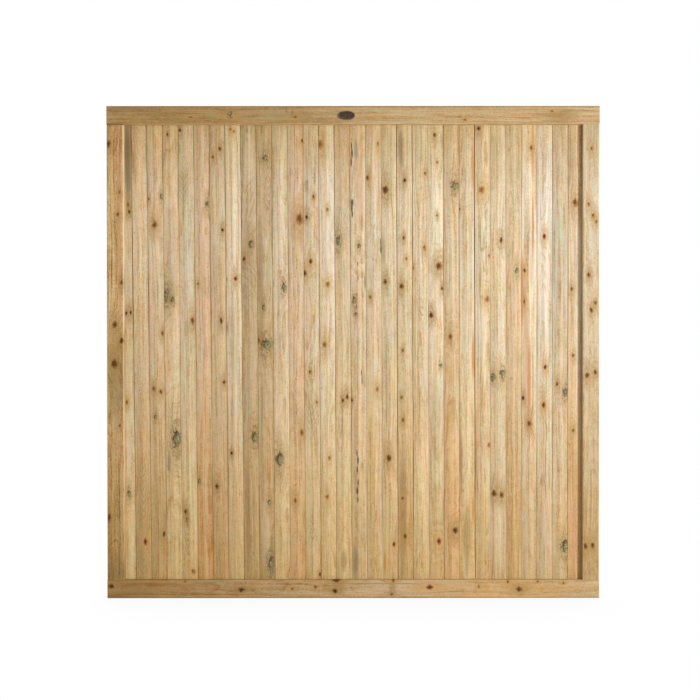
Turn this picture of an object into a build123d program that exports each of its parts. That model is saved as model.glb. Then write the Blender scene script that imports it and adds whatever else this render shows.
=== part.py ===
from build123d import *
import math
import os

# Acoustic fence panel: upright tongue-and-groove boards seated in a grooved timber frame.
# Millimetres. The origin is at the middle of the bottom edge, +Z is up, +X is to the right
# of someone who faces the front, and the front looks along -Y. Both faces are alike.

# Frame timbers
panel_width = 1830.0
panel_height = 1830.0
frame_depth = 50.0
rail_height = 68.0
stile_width = 63.0
frame_arris = 4.0  # rounding of the long edges
plough_depth = 14.0  # groove in the inner edge of every frame timber
stile_joint_gap = 0.8  # open joint line between a stile and the top rail

# Tongues and the play that they have in a groove
tongue_thickness = 8.0
tongue_length = 10.0
tongue_side_play = 0.25
tongue_end_play = 1.0

# Boards, thickest along a ridge in the middle of each face
board_face = 57.2
board_thickness = 22.0
ridge_rise = 3.0  # fall of the face from the ridge to either edge
board_arris = 1.2
joint_gap_head = 1.0
joint_gap_foot = 0.36  # the boards close up towards the foot, so they fan a little
first_joint_inset = 51.0  # from the right stile to the first joint between boards
least_make_up = 12.0  # narrowest strip that is left for the board at the left stile
rip_gap = 0.6  # between a ripped board's face and the stile
shoulder_gap_head = 0.8
shoulder_gap_foot = 1.0
head_play = 2.0  # room above the boards in the top rail's groove

# Corner screws, driven through a rail into the end of a stile
screw_shank = 5.0
screw_head = 10.0
screw_length = 110.0
screw_tip = 8.0
screw_sink = 0.5  # head below the timber's edge
screw_play = 0.15
screw_offset = 13.0  # either side of the frame's middle plane
pilot_spare = 2.0  # hole left beyond the tip of the screw

# Bare oval badge plate on the front of the top rail
badge_width = 62.0
badge_height = 34.0
badge_thickness = 3.0
badge_rim_width = 2.5
badge_rim_height = 0.8
badge_offset = -24.0  # from the middle of the panel
badge_drop = 36.0  # from the top edge
spigot_diameter = 5.0
spigot_length = 6.0
spigot_spacing = 34.0
spigot_play = 0.2

# Places that follow from the sizes
clear_width = panel_width - 2 * stile_width
clear_height = panel_height - 2 * rail_height
half_clear = clear_width / 2
head_line = panel_height - rail_height
tongue_half = tongue_thickness / 2
groove_half = tongue_half + tongue_side_play
groove_floor = tongue_length + tongue_end_play
stub_length = plough_depth - tongue_end_play
tenon_foot = rail_height - plough_depth
tenon_head = head_line + plough_depth - head_play
shoulder_foot = rail_height + shoulder_gap_foot
shoulder_head = head_line - shoulder_gap_head
pitch_head = board_face + joint_gap_head
pitch_foot = board_face + joint_gap_foot
first_joint = half_clear - first_joint_inset
joint_count = math.floor((clear_width - first_joint_inset - least_make_up) / pitch_head)
screw_places = [
    (side * (panel_width - stile_width) / 2, face * screw_offset)
    for side in (-1, 1)
    for face in (-1, 1)
]
middle_height = Plane.XY.offset(panel_height / 2)
badge_plane = Plane(
    origin=(badge_offset, -frame_depth / 2, panel_height - badge_drop),
    x_dir=(1, 0, 0),
    z_dir=(0, -1, 0),
)


def block(low, high):
    """Square-edged block between two corners."""
    size = [b - a for a, b in zip(low, high)]
    centre = [(a + b) / 2 for a, b in zip(low, high)]
    return Pos(*centre) * Box(*size)


def corner_screw(play=0.0, spare=0.0):
    """Countersunk screw, head down at z = 0, or the hole for it when it has play."""
    shank = screw_shank / 2 + play
    head = screw_head / 2 + play
    throat = screw_sink + head - shank
    end = screw_length + spare
    outline = [
        (0, screw_sink - play),
        (head, screw_sink - play),
        (shank, throat - play),
        (shank, end - screw_tip),
        (0, end),
    ]
    profile = make_face(Polyline(*outline, close=True))
    return revolve(Plane.XZ * profile, axis=Axis.Z)


def corner_holes():
    """Countersunk holes for the screws at the foot of the panel."""
    mouth = Pos(0, 0, screw_sink / 2) * Cylinder(screw_head / 2 + screw_play, screw_sink)
    hole = corner_screw(screw_play, pilot_spare) + mouth
    return [Pos(x, y, 0) * hole for x, y in screw_places]


def bottom_rail():
    rail = block((-panel_width / 2, -frame_depth / 2, 0), (panel_width / 2, frame_depth / 2, rail_height))
    rail = fillet(rail.edges().filter_by(Axis.X), frame_arris)
    rail -= block((-panel_width / 2, -groove_half, tenon_foot), (panel_width / 2, groove_half, rail_height))
    return rail - corner_holes()


def top_rail():
    rail = mirror(bottom_rail(), about=middle_height)
    return rail - [badge_plane * Pos(x, 0, 0) * spigot(spigot_play) for x in spigot_places()]


def right_stile():
    head = head_line - stile_joint_gap
    inner, outer = half_clear, panel_width / 2
    stile = block((inner, -frame_depth / 2, rail_height), (outer, frame_depth / 2, head))
    stile = fillet(stile.edges().filter_by(Axis.Z), frame_arris)
    foot_stub, head_stub = rail_height - stub_length, head_line + stub_length
    stile += block((inner, -tongue_half, foot_stub), (outer, tongue_half, head_stub))
    stile -= block((inner, -groove_half, foot_stub), (inner + plough_depth, groove_half, head_stub))
    foot_holes = corner_holes()
    head_holes = [mirror(hole, about=middle_height) for hole in foot_holes]
    return stile - foot_holes - head_holes


def left_stile():
    return mirror(right_stile(), about=Plane.YZ)


def joint_at(steps, z):
    """Place of the joint that is so many boards to the left of the first one, at a height."""
    share = (z - rail_height) / clear_height
    pitch = pitch_foot + (pitch_head - pitch_foot) * share
    return first_joint - steps * pitch


def leaning(section, steps, low, high):
    """Extrudes a board's section along the lean of the joint on its right."""
    start = joint_at(steps, low)
    run = Vector(joint_at(steps, high) - start, 0, high - low)
    return extrude(Pos(start, 0, low) * section, amount=run.length, dir=run)


def board_section(left_edge):
    """Ridged section with a tongue, its right face edge at x = 0 and its left side as given."""
    half = board_thickness / 2
    edge = half - ridge_rise
    eased = edge + ridge_rise * board_arris / (board_face / 2)
    front = left_edge + [
        (board_arris - board_face, -eased),
        (-board_face / 2, -half),
        (-board_arris, -eased),
        (0, board_arris - edge),
        (0, -tongue_half),
        (tongue_length, -tongue_half),
    ]
    back = [(x, -y) for x, y in reversed(front)]
    return make_face(Polyline(*front, *back, close=True))


def grooved_edge():
    """Left side of a whole board, from the groove's floor to the face."""
    return [
        (groove_floor - board_face, -groove_half),
        (-board_face, -groove_half),
        (-board_face, board_arris + ridge_rise - board_thickness / 2),
    ]


def spare_edge():
    """Left side of the make-up board before it is ripped, one more pitch of plain stock."""
    return [(-board_face - pitch_head, ridge_rise - board_thickness / 2)]


def core_section(left):
    """Slab as thick as the tongue, which runs on as the tenons at both ends."""
    return make_face(
        Polyline(
            (left, -tongue_half),
            (tongue_length, -tongue_half),
            (tongue_length, tongue_half),
            (left, tongue_half),
            close=True,
        )
    )


def whole_board(steps, left_edge):
    body = leaning(board_section(left_edge), steps, shoulder_foot, shoulder_head)
    core = leaning(core_section(left_edge[0][0]), steps, tenon_foot, tenon_head)
    return body + core


def make_up_board():
    """Board ripped upright along the left stile, with a tongue in the stile's groove."""
    rip = -half_clear + rip_gap
    board = whole_board(joint_count, spare_edge())
    board -= block((-panel_width, -frame_depth, 0), (rip, frame_depth, panel_height))
    tongue = block(
        (-half_clear - stub_length, -tongue_half, tenon_foot),
        (-half_clear + least_make_up, tongue_half, tenon_head),
    )
    return board + tongue


def closing_board():
    """Board ripped upright along the right stile, with a tongue in the stile's groove."""
    rip = half_clear - rip_gap
    board = whole_board(-1, grooved_edge())
    board -= block((rip, -frame_depth, 0), (panel_width, frame_depth, panel_height))
    tongue = block(
        (first_joint + joint_gap_head + groove_floor, -tongue_half, tenon_foot),
        (half_clear + stub_length, tongue_half, tenon_head),
    )
    return board + tongue


def boards():
    """All boards from left to right."""
    row = [make_up_board()]
    row += [whole_board(steps, grooved_edge()) for steps in reversed(range(joint_count))]
    row.append(closing_board())
    return {f"board_{number:02d}": board for number, board in enumerate(row, start=1)}


def frame_screws():
    foot = [Pos(x, y, 0) * corner_screw() for x, y in screw_places]
    head = [mirror(screw, about=middle_height) for screw in foot]
    return Compound(children=[screw.solid() for screw in foot + head])


def spigot_places():
    return [-spigot_spacing / 2, spigot_spacing / 2]


def spigot(play=0.0):
    """Round stud behind the badge, or the hole for it when it has play."""
    length = spigot_length + play
    return Pos(0, 0, -length / 2) * Cylinder(spigot_diameter / 2 + play, length)


def badge_plate():
    oval = Ellipse(badge_width / 2, badge_height / 2)
    field = Ellipse(badge_width / 2 - badge_rim_width, badge_height / 2 - badge_rim_width)
    plate = extrude(oval, amount=badge_thickness + badge_rim_height)
    plate -= Pos(0, 0, badge_thickness) * extrude(field, amount=badge_rim_height)
    for x in spigot_places():
        plate += Pos(x, 0, 0) * spigot()
    return badge_plane * plate


nodes = {
    "top_rail": top_rail(),
    "bottom_rail": bottom_rail(),
    "left_stile": left_stile(),
    "right_stile": right_stile(),
    "frame_screws": frame_screws(),
    "badge_plate": badge_plate(),
    **boards(),
}

os.makedirs("parts", exist_ok=True)
for name, shape in nodes.items():
    export_step(shape, f"parts/{name}.step")
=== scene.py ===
"""Dresses the acoustic fence panel: ridged pine boards in a grooved pine frame, with a bare badge."""
import math
import random

import bmesh
import bpy
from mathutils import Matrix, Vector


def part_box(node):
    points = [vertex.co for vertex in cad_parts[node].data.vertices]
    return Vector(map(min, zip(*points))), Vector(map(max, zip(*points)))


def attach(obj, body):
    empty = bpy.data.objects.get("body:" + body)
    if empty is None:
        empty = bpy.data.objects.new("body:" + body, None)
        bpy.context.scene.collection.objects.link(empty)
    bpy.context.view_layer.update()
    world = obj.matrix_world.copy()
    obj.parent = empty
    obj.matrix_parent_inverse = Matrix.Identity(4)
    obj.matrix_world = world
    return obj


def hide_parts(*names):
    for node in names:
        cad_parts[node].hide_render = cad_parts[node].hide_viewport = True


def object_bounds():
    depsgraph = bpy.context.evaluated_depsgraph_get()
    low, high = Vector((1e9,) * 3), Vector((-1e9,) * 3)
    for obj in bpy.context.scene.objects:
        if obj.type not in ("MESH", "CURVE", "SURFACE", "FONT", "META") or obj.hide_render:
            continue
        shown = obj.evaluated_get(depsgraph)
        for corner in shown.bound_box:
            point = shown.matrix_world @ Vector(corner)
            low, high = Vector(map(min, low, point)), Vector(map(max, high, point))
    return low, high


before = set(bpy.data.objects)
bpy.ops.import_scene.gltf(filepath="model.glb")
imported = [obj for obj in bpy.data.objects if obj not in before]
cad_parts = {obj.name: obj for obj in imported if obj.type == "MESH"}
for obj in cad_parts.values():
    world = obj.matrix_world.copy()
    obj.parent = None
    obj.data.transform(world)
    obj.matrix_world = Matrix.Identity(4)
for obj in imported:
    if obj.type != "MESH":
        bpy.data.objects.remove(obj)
cad_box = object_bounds()

# Sections of the timbers, in metres
BOARD_FACE = 0.0572
BOARD_THICKNESS = 0.022
RIDGE_RISE = 0.003
RIDGE_EASE = 0.0014
BOARD_ARRIS = 0.0012
TONGUE_LENGTH = 0.010
TONGUE_THICKNESS = 0.008
GROOVE_DEPTH = 0.011
GROOVE_WIDTH = 0.0085
RIP_GAP = 0.0006
HEAD_CLOSE = 0.0006  # the heads are driven up close to the rail
FOOT_CLOSE = 0.0008  # and the feet down
FACE_SWELL = 0.0002  # the boards take up some of the gap between them
BOARD_ROWS = 120
UNEVENNESS = 0.00014
WAVER_GRAIN = (12.0, 15.0)  # turns to a metre across and up a board
BOW_GRAIN = (2.0, 2.5)
BOARD_SHARP = 40  # degrees up to which edges are shaded smooth
BOARD_COUNT = 30

# Badge plate: inset from its outline and height over the rail, from the back to the middle
BADGE_PROFILE = [
    (0.0, 0.0), (0.0, 0.0029), (0.0003, 0.0035), (0.0010, 0.0038), (0.0017, 0.0037), (0.0022, 0.0033),
    (0.0026, 0.0030), (0.0045, 0.0029), (0.0090, 0.0030), (0.0150, 0.0031), (0.0165, 0.0031),
]
BADGE_STEPS = 96
BADGE_STUD_SPACING = 0.034
BADGE_STUD_RADIUS = 0.0025
BADGE_STUD_STEPS = 24
BADGE_RUB = 0.0007  # how deep the rubbing on the rim reaches
BADGE_BLOTCH = 260.0
BADGE_GRIT = 2200.0

# Corner screws
SCREW_SHANK = 0.005
SCREW_HEAD = 0.010
SCREW_LENGTH = 0.1095
SCREW_TIP = 0.008
SCREW_RECESS = 0.0027
SCREW_CHAMFER = 0.0003
RECESS_CORE = 0.38  # share of the cross recess that is round
RECESS_SHARPNESS = 6
SCREW_CLOUD = 400.0
SCREW_STEPS = 48

FITTING_SHARP = 35  # degrees, on the badge and the screws

# Places that follow from the frame
PANEL_LOW, PANEL_HIGH = cad_box
PANEL_WIDTH = PANEL_HIGH[0] - PANEL_LOW[0]
PANEL_HEIGHT = PANEL_HIGH[2] - PANEL_LOW[2]
LEFT_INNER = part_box("left_stile")[1][0]
RIGHT_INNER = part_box("right_stile")[0][0]
RAIL_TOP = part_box("bottom_rail")[1][2]
HEAD_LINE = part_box("top_rail")[0][2]
RAIL_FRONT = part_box("top_rail")[0][1]
BADGE_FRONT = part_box("badge_plate")[0][1]

# Camera, set by the four corners of the panel in the photograph
PHOTO_WIDTH = 700
CAMERA_PLACE = (-0.0138, -3.425, 0.9468)
CAMERA_PITCH = math.radians(-0.382)
CAMERA_YAW = math.radians(0.034)
CAMERA_ROLL = math.radians(0.031)
CAMERA_SENSOR = 36.0
CAMERA_FOCUS = 915.18  # in pixels of the photograph
BOARD_SIGHT = 1.0045  # boards lie behind the front, so what is seen on them is this much further out

# Lights: the lamps are a little cooler than the fill
LAMP_TINT = (0.95, 1.0, 1.08)
LAMP_AIM = (0.0, 0.0, 0.95)
KEY_LAMP = {"place": (5.15, -4.03, 1.35), "size": 1.12, "power": 384.0}
BACK_LAMP = {"place": (-4.0, 4.6, 2.2), "size": 2.5, "power": 220.0}
FILL_TINT = (1.095, 1.0, 0.87, 1.0)
FILL_LEVEL = 0.428
WHITE = (1.0, 1.0, 1.0, 1.0)

# Floor
FLOOR_REACH = 9.0
FLOOR_COLOUR = (0.75, 0.75, 0.75, 1.0)
FLOOR_SHADOW = 0.1  # depth of the shadow that the camera sees
SHADOW_REACH = 0.5

# Mean colour of each tone of pine
TONES = {
    "ash": "d9c8af",
    "cream": "dfcbaa",
    "straw": "d7c19e",
    "sand": "dcc19a",
    "rose": "d8bb98",
    "reed": "d3c09e",
    "tan": "d1b893",
    "umber": "c6ad87",
    "wheat": "d6ba8a",
    "honey": "cfb182",
    "ginger": "d0a978",
    "toffee": "c7a573",
    "walnut": "bea072",
    "oat": "cbb088",
    "drab": "c8b596",
    "stile amber": "d1ae7b",
    "stile brown": "b99662",
    "stile pale": "c8b596",
    "stile straw": "bc9f74",
    "rail brown": "aa8a5a",
    "rail tan": "b89b6e",
    "rail umber": "a88756",
    "rail straw": "bfa176",
}

# Upper and lower tone of the boards from left to right
BOARD_TONES = [
    ("umber", "wheat"), ("sand", "toffee"), ("sand", "toffee"), ("sand", "wheat"), ("reed", "wheat"),
    ("rose", "ginger"), ("tan", "toffee"), ("cream", "honey"), ("umber", "walnut"), ("umber", "walnut"),
    ("straw", "wheat"), ("rose", "ginger"), ("straw", "honey"), ("cream", "wheat"), ("tan", "wheat"),
    ("straw", "honey"), ("straw", "honey"), ("reed", "honey"), ("straw", "toffee"), ("straw", "wheat"),
    ("cream", "honey"), ("tan", "ginger"), ("straw", "wheat"), ("straw", "honey"), ("straw", "oat"),
    ("tan", "toffee"), ("cream", "oat"), ("ash", "oat"), ("drab", "oat"), ("straw", "ginger"),
]

# Where a board's upper tone ends and its lower one begins, and how strongly its figure shows
BOARD_FADE = (1.35, 0.2)
BOARD_CONTRAST = 1.0

# Ranges from which a board's pith and the seed of its figure are drawn
PITH_ACROSS = (-0.03, 0.03)
PITH_DEPTH = (0.02, 0.09)
RING_WIDTH = (0.0022, 0.0036)
PITH_WANDER = (0.015, 0.05)
BOARD_SEEDS = (0, 40)
BOARD_DRAW = 30
FIRST_FRAME_SEED = 50

# Frame timbers: two tones, where they fade, contrast, and the pith's place, ring width and wander
FRAME_TIMBERS = {
    "left_stile": (("stile amber", "stile brown"), BOARD_FADE, 1.6, (-0.02, 0.03, 0.004, 0.05)),
    "right_stile": (("stile pale", "stile straw"), BOARD_FADE, 0.95, (0.01, 0.05, 0.004, 0.05)),
    "bottom_rail": (("rail umber", "rail straw"), (-0.8, 0.05), 1.1, (0.01, 0.04, 0.005, 0.06)),
    "top_rail": (("rail brown", "rail tan"), (-0.35, 0.15), 1.05, (-0.01, -0.02, 0.005, 0.06)),
}

# Growth rings
DRIFT_RATE = 1.7  # turns to a metre of the pith's wander sideways
RISE_RATE = 1.3  # and in depth
FLUTTER_GRAIN = (28.0, 5.0)
RING_FLUTTER = 0.004
RING_SPREAD = 1.8  # how far ring widths stray, in rings
LATE_WOOD = (0.25, 0.9)  # where the dark part of a ring begins and is full
RING_END = (1.0, 0.93)
STREAK_BEND = 0.7  # how far streaks follow the rings round a knot
STREAK_DRIFT = 0.25  # and the pith's wander

# Figure that runs with the grain: turns to a metre across and along, detail, roughness, step of the seed
GRAINS = {
    "Streak": (85.0, 1.8, 5.0, 0.7, 5.0),
    "Line": (170.0, 2.0, 2.0, 0.5, 2.0),
    "Mottle": (150.0, 14.0, 4.0, 0.75, 3.0),
    "Warmth": (70.0, 3.0, 5.0, 0.8, 9.0),
    "Moss": (48.0, 4.0, 5.0, 0.8, 4.0),
}
FLECKS = {"Fibre": (500.0, 220.0, 2.0, 0.7), "Speck": (210.0, 95.0, 1.0, 0.5)}

# Soft spots, and how far they stir the figure
SPOT_GRAIN = (30.0, 24.0)
SPOT_SHARES = {"Mottle": 0.7, "Warmth": 0.6, "Moss": 0.6}

# How far each part of the figure darkens the pine
STREAK_RANGE = (0.36, 0.64)
STREAK_DEPTH = 0.34
LINE_RANGE = (0.58, 0.66)
LINE_DEPTH = 0.2
LATE_DEPTH = 0.2
MEAN_LIGHT = (0.16, 0.06)  # gives back what streaks and lines take from the mean
MOTTLE_DEPTH = 0.9
FIBRE_DEPTH = 1.3
LEAST_LIGHT = 0.3
GLARE_LOSS = 0.35  # share of the light above the mean that is held back
RED_FALL = 0.62  # darker pine loses less of its red and more of its blue
BLUE_FALL = 1.65
WARM_SHARES = (0.6, 0.66)  # red that warmth gives and blue that it takes
MOSS_SHARES = (0.12, 0.3, 0.2)  # red that moss takes, green that it gives, blue that it takes
SPECK = "7d5d38"
SPECK_RANGE = (0.7, 0.78)
SPECK_COVER = 0.6

# Heart, body and halo of each kind of knot, how ragged it is, how large its heart is and on which side
KNOT_KINDS = {
    "black": ("2e1c0c", "7a5228", "a98550", 0.35, 0.75, -0.2),
    "dark": ("573213", "8d6132", "ab8850", 0.35, 0.85, -0.25),
    "brown": ("6e3f19", "a27440", "b8945c", 0.35, 0.75, -0.3),
    "red": ("5c270f", "a06232", "c29a62", 0.2, 0.85, -0.2),
    "orange": ("8e5427", "b08049", "c6a26a", 0.35, 0.75, -0.25),
    "green": ("9a9568", "3f2b10", "a98a54", 1.0, 0.95, 0.5),
    "grey": ("a08f68", "46300f", "ad8d56", 0.45, 0.9, 0.5),
}

# Shape of the knots; reaches are in their own half sizes
KNOT_GRAIN = (120.0, 50.0, 80.0)  # turns to a metre of the noise that tears their edges
KNOT_MOTTLE = 190.0
KNOT_PATCHES = (0.36, 0.62)
KNOT_BEND = 1.3  # how far a knot pushes the rings aside
KNOT_STRETCH = 0.55  # halo and bend are longer than the knot
BEND_DECAY = 0.16
KNOT_ROUNDNESS = 1.6  # 2 would be an ellipse, 1 a lozenge
HEART_TILT = (0.5, 0.85)  # up and to the left, where hearts with a side below 0 lie, off the middle
HALO_REACH = (3.4, 0.8)
BODY_EDGE = (1.3, 0.75)
WHISKER = "6e4f26"  # thin curls of bark and pitch round a ragged knot
WHISKER_REACH = (2.4, 0.9)
WHISKER_TURNS = 6.0

# Edges of stains, of painted light and shade, and of patches of arched grain
MARK_TEAR = 1.2  # how far a mark's edge follows the streaks
STAIN_EDGE = (1.3, 0.4)
ARCH_EDGE = (1.15, 0.4)
ARCH_PITCH = 240.0  # radians of ring to a metre of board
ARCH_POINT = 13.0
ARCH_LINE = (0.5, 0.98)
ARCH_COVER = 0.36

# Finish of planed pine
PINE_ROUGHNESS = (0.55, 0.25)  # least, and what the fibres add
PINE_SPECULAR = 0.15
PINE_RELIEF = 0.0006

# Heights between which a timber grows darker towards its head and its foot, and the tint that it takes there
HEAD_DARKENING = (1.45, 1.80, "eae1cb")
FOOT_DARKENING = (0.60, 0.02, "f1eddf")

# What lies along the joints between the boards
JOINT_TINT = "7d5f0e"  # what the treatment leaves along the joints
JOINT_SHADE = "553a14"  # painted shade and dirt in the joints that stand open
ARRIS_LIGHT_AND_WEAR = "f4e8cc"  # painted light and wear on arrises where the joint looks closed
JOINT_REACH = (0.86, 1.0)  # where the tint begins and is full, as shares of half a face
JOINT_COVER = 0.38
JOINT_RUNS = (0.38, 0.66)
SHADE_AND_DIRT_REACH = (0.93, 0.99)

# How much painted shade and dirt lies along the joints, by the number of the board on their left; below 0
# their arrises take painted light and wear instead
OPEN_JOINTS = {
    1: 0.5, 2: 0.3, 3: 0.1, 6: 0.25, 7: 0.25, 8: 0.15, 10: 0.1, 11: -0.2, 13: 0.25, 14: 0.1, 15: 0.1,
    16: -0.15, 17: -0.3, 18: 0.45, 19: 0.4, 20: -0.4, 21: 0.2, 22: 0.1, 23: 1.0, 24: -0.4, 25: -0.3,
    26: -0.3, 28: -0.15, 29: 0.15,
}

KNOT_GROWTH = 1.3  # outer edge of a knot, from the dark part that the lists give

# Knots by kind: millimetres from the panel's left edge and down from its top, half width, half height
KNOTS = {
    "black": [
        (80, 367, 4, 8), (84, 393, 4, 7), (73, 770, 4, 7), (89, 766, 3, 7), (227, 107, 3, 5),
        (273, 91, 4, 6), (421, 160, 4, 7), (430, 461, 4, 7), (425, 797, 4, 9), (435, 1025, 4, 6),
        (408, 1413, 5, 8), (463, 1289, 4, 6), (500, 533, 3, 6), (510, 568, 4, 8), (505, 1218, 4, 8),
        (561, 873, 6, 11), (293, 1508, 5, 9), (743, 412, 4, 6), (877, 1093, 4, 7), (893, 1080, 4, 8),
        (911, 1093, 3, 6), (1381, 85, 5, 7), (1547, 1085, 4, 7), (1205, 777, 6, 9), (1107, 277, 4, 7),
        (1295, 1577, 8, 10),
    ],
    "dark": [
        (212, 1590, 4, 9), (1035, 312, 9, 13), (1035, 652, 6, 9), (1109, 1599, 5, 8),
        (1233, 595, 9, 12), (1245, 679, 4, 6), (1570, 1180, 6, 9), (1048, 1308, 7, 11),
        (1095, 670, 6, 9), (792, 1741, 4, 6), (1673, 1033, 4, 7), (1439, 1440, 8, 10),
        (1467, 1446, 6, 10), (1465, 499, 5, 9),
    ],
    "brown": [
        (717, 420, 11, 18), (724, 1212, 5, 13), (179, 440, 8, 12), (157, 345, 3, 5), (207, 843, 4, 9),
        (175, 1050, 5, 8), (201, 1061, 5, 8), (75, 1100, 4, 8), (319, 798, 6, 12), (339, 660, 3, 5),
        (395, 190, 4, 6), (461, 87, 4, 5), (727, 130, 4, 7), (768, 339, 4, 7), (969, 268, 5, 9),
        (979, 710, 4, 6), (1100, 1167, 5, 8), (1103, 490, 4, 6), (700, 1467, 5, 8), (755, 987, 4, 6),
        (1183, 250, 4, 7), (1137, 602, 4, 7), (1219, 110, 5, 8), (1227, 210, 3, 5), (1227, 407, 3, 4),
        (1277, 857, 6, 10), (1577, 157, 5, 9), (1551, 727, 3, 9), (1733, 927, 4, 6),
        (1733, 1205, 4, 6), (1727, 680, 4, 7), (1310, 383, 3, 5), (1740, 360, 9, 13),
        (1099, 908, 4, 6), (1095, 1083, 4, 6), (1099, 1459, 4, 6), (780, 1100, 3, 6),
    ],
    "red": [
        (143, 1619, 6, 11), (479, 641, 5, 8), (758, 577, 5, 8), (735, 621, 6, 9), (1067, 1629, 5, 8),
        (1235, 1618, 7, 10), (1625, 485, 5, 8), (1629, 970, 5, 8), (1623, 1110, 6, 10),
        (1552, 611, 4, 7),
    ],
    "orange": [
        (793, 143, 9, 16), (820, 385, 4, 6), (821, 662, 6, 9), (809, 887, 6, 10), (827, 1308, 5, 8),
        (818, 1452, 6, 9), (1005, 1052, 5, 9), (1393, 313, 8, 12), (1413, 718, 7, 10),
        (1421, 1260, 5, 9), (1422, 557, 4, 6), (320, 1730, 7, 10), (473, 95, 4, 6), (1113, 567, 4, 6),
        (1180, 527, 5, 9), (1007, 141, 4, 10),
    ],
    "green": [
        (202, 334, 4, 9), (220, 703, 9, 18), (245, 719, 5, 8), (260, 1234, 13, 24), (82, 1441, 5, 9),
        (590, 193, 6, 9), (593, 887, 14, 16), (607, 1699, 9, 18), (657, 674, 6, 12), (860, 497, 7, 14),
        (937, 521, 4, 7), (920, 723, 6, 10), (925, 773, 4, 6), (1291, 297, 9, 14), (1239, 963, 4, 6),
        (1435, 1010, 7, 10), (1469, 993, 8, 11), (1522, 612, 5, 9), (1705, 1065, 8, 12),
        (1704, 1638, 11, 18), (373, 363, 5, 8), (550, 1229, 8, 16),
    ],
    "grey": [
        (537, 512, 7, 13), (642, 1312, 11, 20), (342, 1393, 4, 7), (297, 1537, 4, 7),
        (603, 1474, 5, 9), (583, 747, 4, 8), (180, 1154, 4, 6), (445, 820, 3, 5),
    ],
}

# Frame knots by node: kind, millimetres from the left edge and down from the top, half width, half height
FRAME_KNOTS = {
    "left_stile": [
        ("dark", 8, 141, 7, 12), ("brown", 49, 320, 4, 7), ("brown", 42, 403, 5, 8),
        ("dark", 55, 655, 5, 8), ("dark", 30, 811, 8, 11), ("black", 55, 872, 6, 9),
        ("dark", 28, 957, 10, 14), ("dark", 8, 1530, 7, 14), ("brown", 48, 1187, 4, 6),
    ],
    "right_stile": [
        ("brown", 1800, 158, 4, 7), ("brown", 1790, 365, 5, 8), ("brown", 1807, 408, 5, 8),
        ("brown", 1819, 430, 4, 6), ("dark", 1790, 627, 5, 8), ("brown", 1815, 732, 5, 7),
        ("dark", 1800, 759, 5, 8), ("dark", 1785, 1000, 6, 10), ("dark", 1815, 989, 5, 8),
        ("dark", 1780, 1637, 6, 10), ("dark", 1806, 1634, 6, 9),
    ],
    "bottom_rail": [
        ("black", 13, 1784, 10, 8), ("brown", 288, 1767, 5, 4), ("black", 498, 1797, 10, 7),
        ("dark", 851, 1763, 13, 6), ("black", 846, 1802, 8, 7), ("brown", 1064, 1764, 5, 6),
        ("dark", 1057, 1815, 5, 4), ("red", 1200, 1788, 12, 7), ("dark", 1533, 1795, 10, 8),
        ("brown", 774, 1787, 6, 6), ("brown", 1382, 1786, 3, 5), ("brown", 1490, 1768, 5, 4),
        ("brown", 1601, 1768, 5, 4), ("brown", 1697, 1773, 4, 5), ("brown", 688, 1795, 4, 5),
    ],
    "top_rail": [
        ("brown", 312, 43, 7, 4), ("brown", 458, 43, 9, 3), ("grey", 458, 29, 7, 7),
        ("brown", 700, 42, 8, 4), ("brown", 1653, 20, 6, 4), ("brown", 1330, 52, 5, 4),
    ],
}

# Colour of each kind of stain, and of painted light and shade, and how much of the timber it hides
STAIN_AND_PAINTED_LIGHT_KINDS = {
    "black": ("2b2013", 0.85),
    "green": ("a89a68", 0.35),
    "blue": ("7a7c66", 0.55),
    "grey": ("7c6b4c", 0.6),
    "orange": ("c4813c", 0.8),
    "rust": ("bd8444", 0.55),
    "amber": ("c8964f", 0.3),
    "brown": ("94703f", 0.5),
    "pink": ("cb9874", 0.5),
    # painted light on a rail's underside and lower arris
    "painted_underside_light": ("e2c08a", 0.6),
    "mint": ("b7bf9a", 0.55),
    "moss": ("8f9048", 0.6),
    "shade": ("8a6a3a", 0.2),
    "light": ("f5e4c4", 0.24),
    # painted highlight down a stile's inner wall, which faces the lamp
    "pale": ("e6d2aa", 0.6),
    # dark lines along the rails; on their outer arrises, which face away from the lamp, they are painted
    # shade
    "edge": ("86632a", 0.6),
    "dirt": ("6b5330", 0.4),
}

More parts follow.
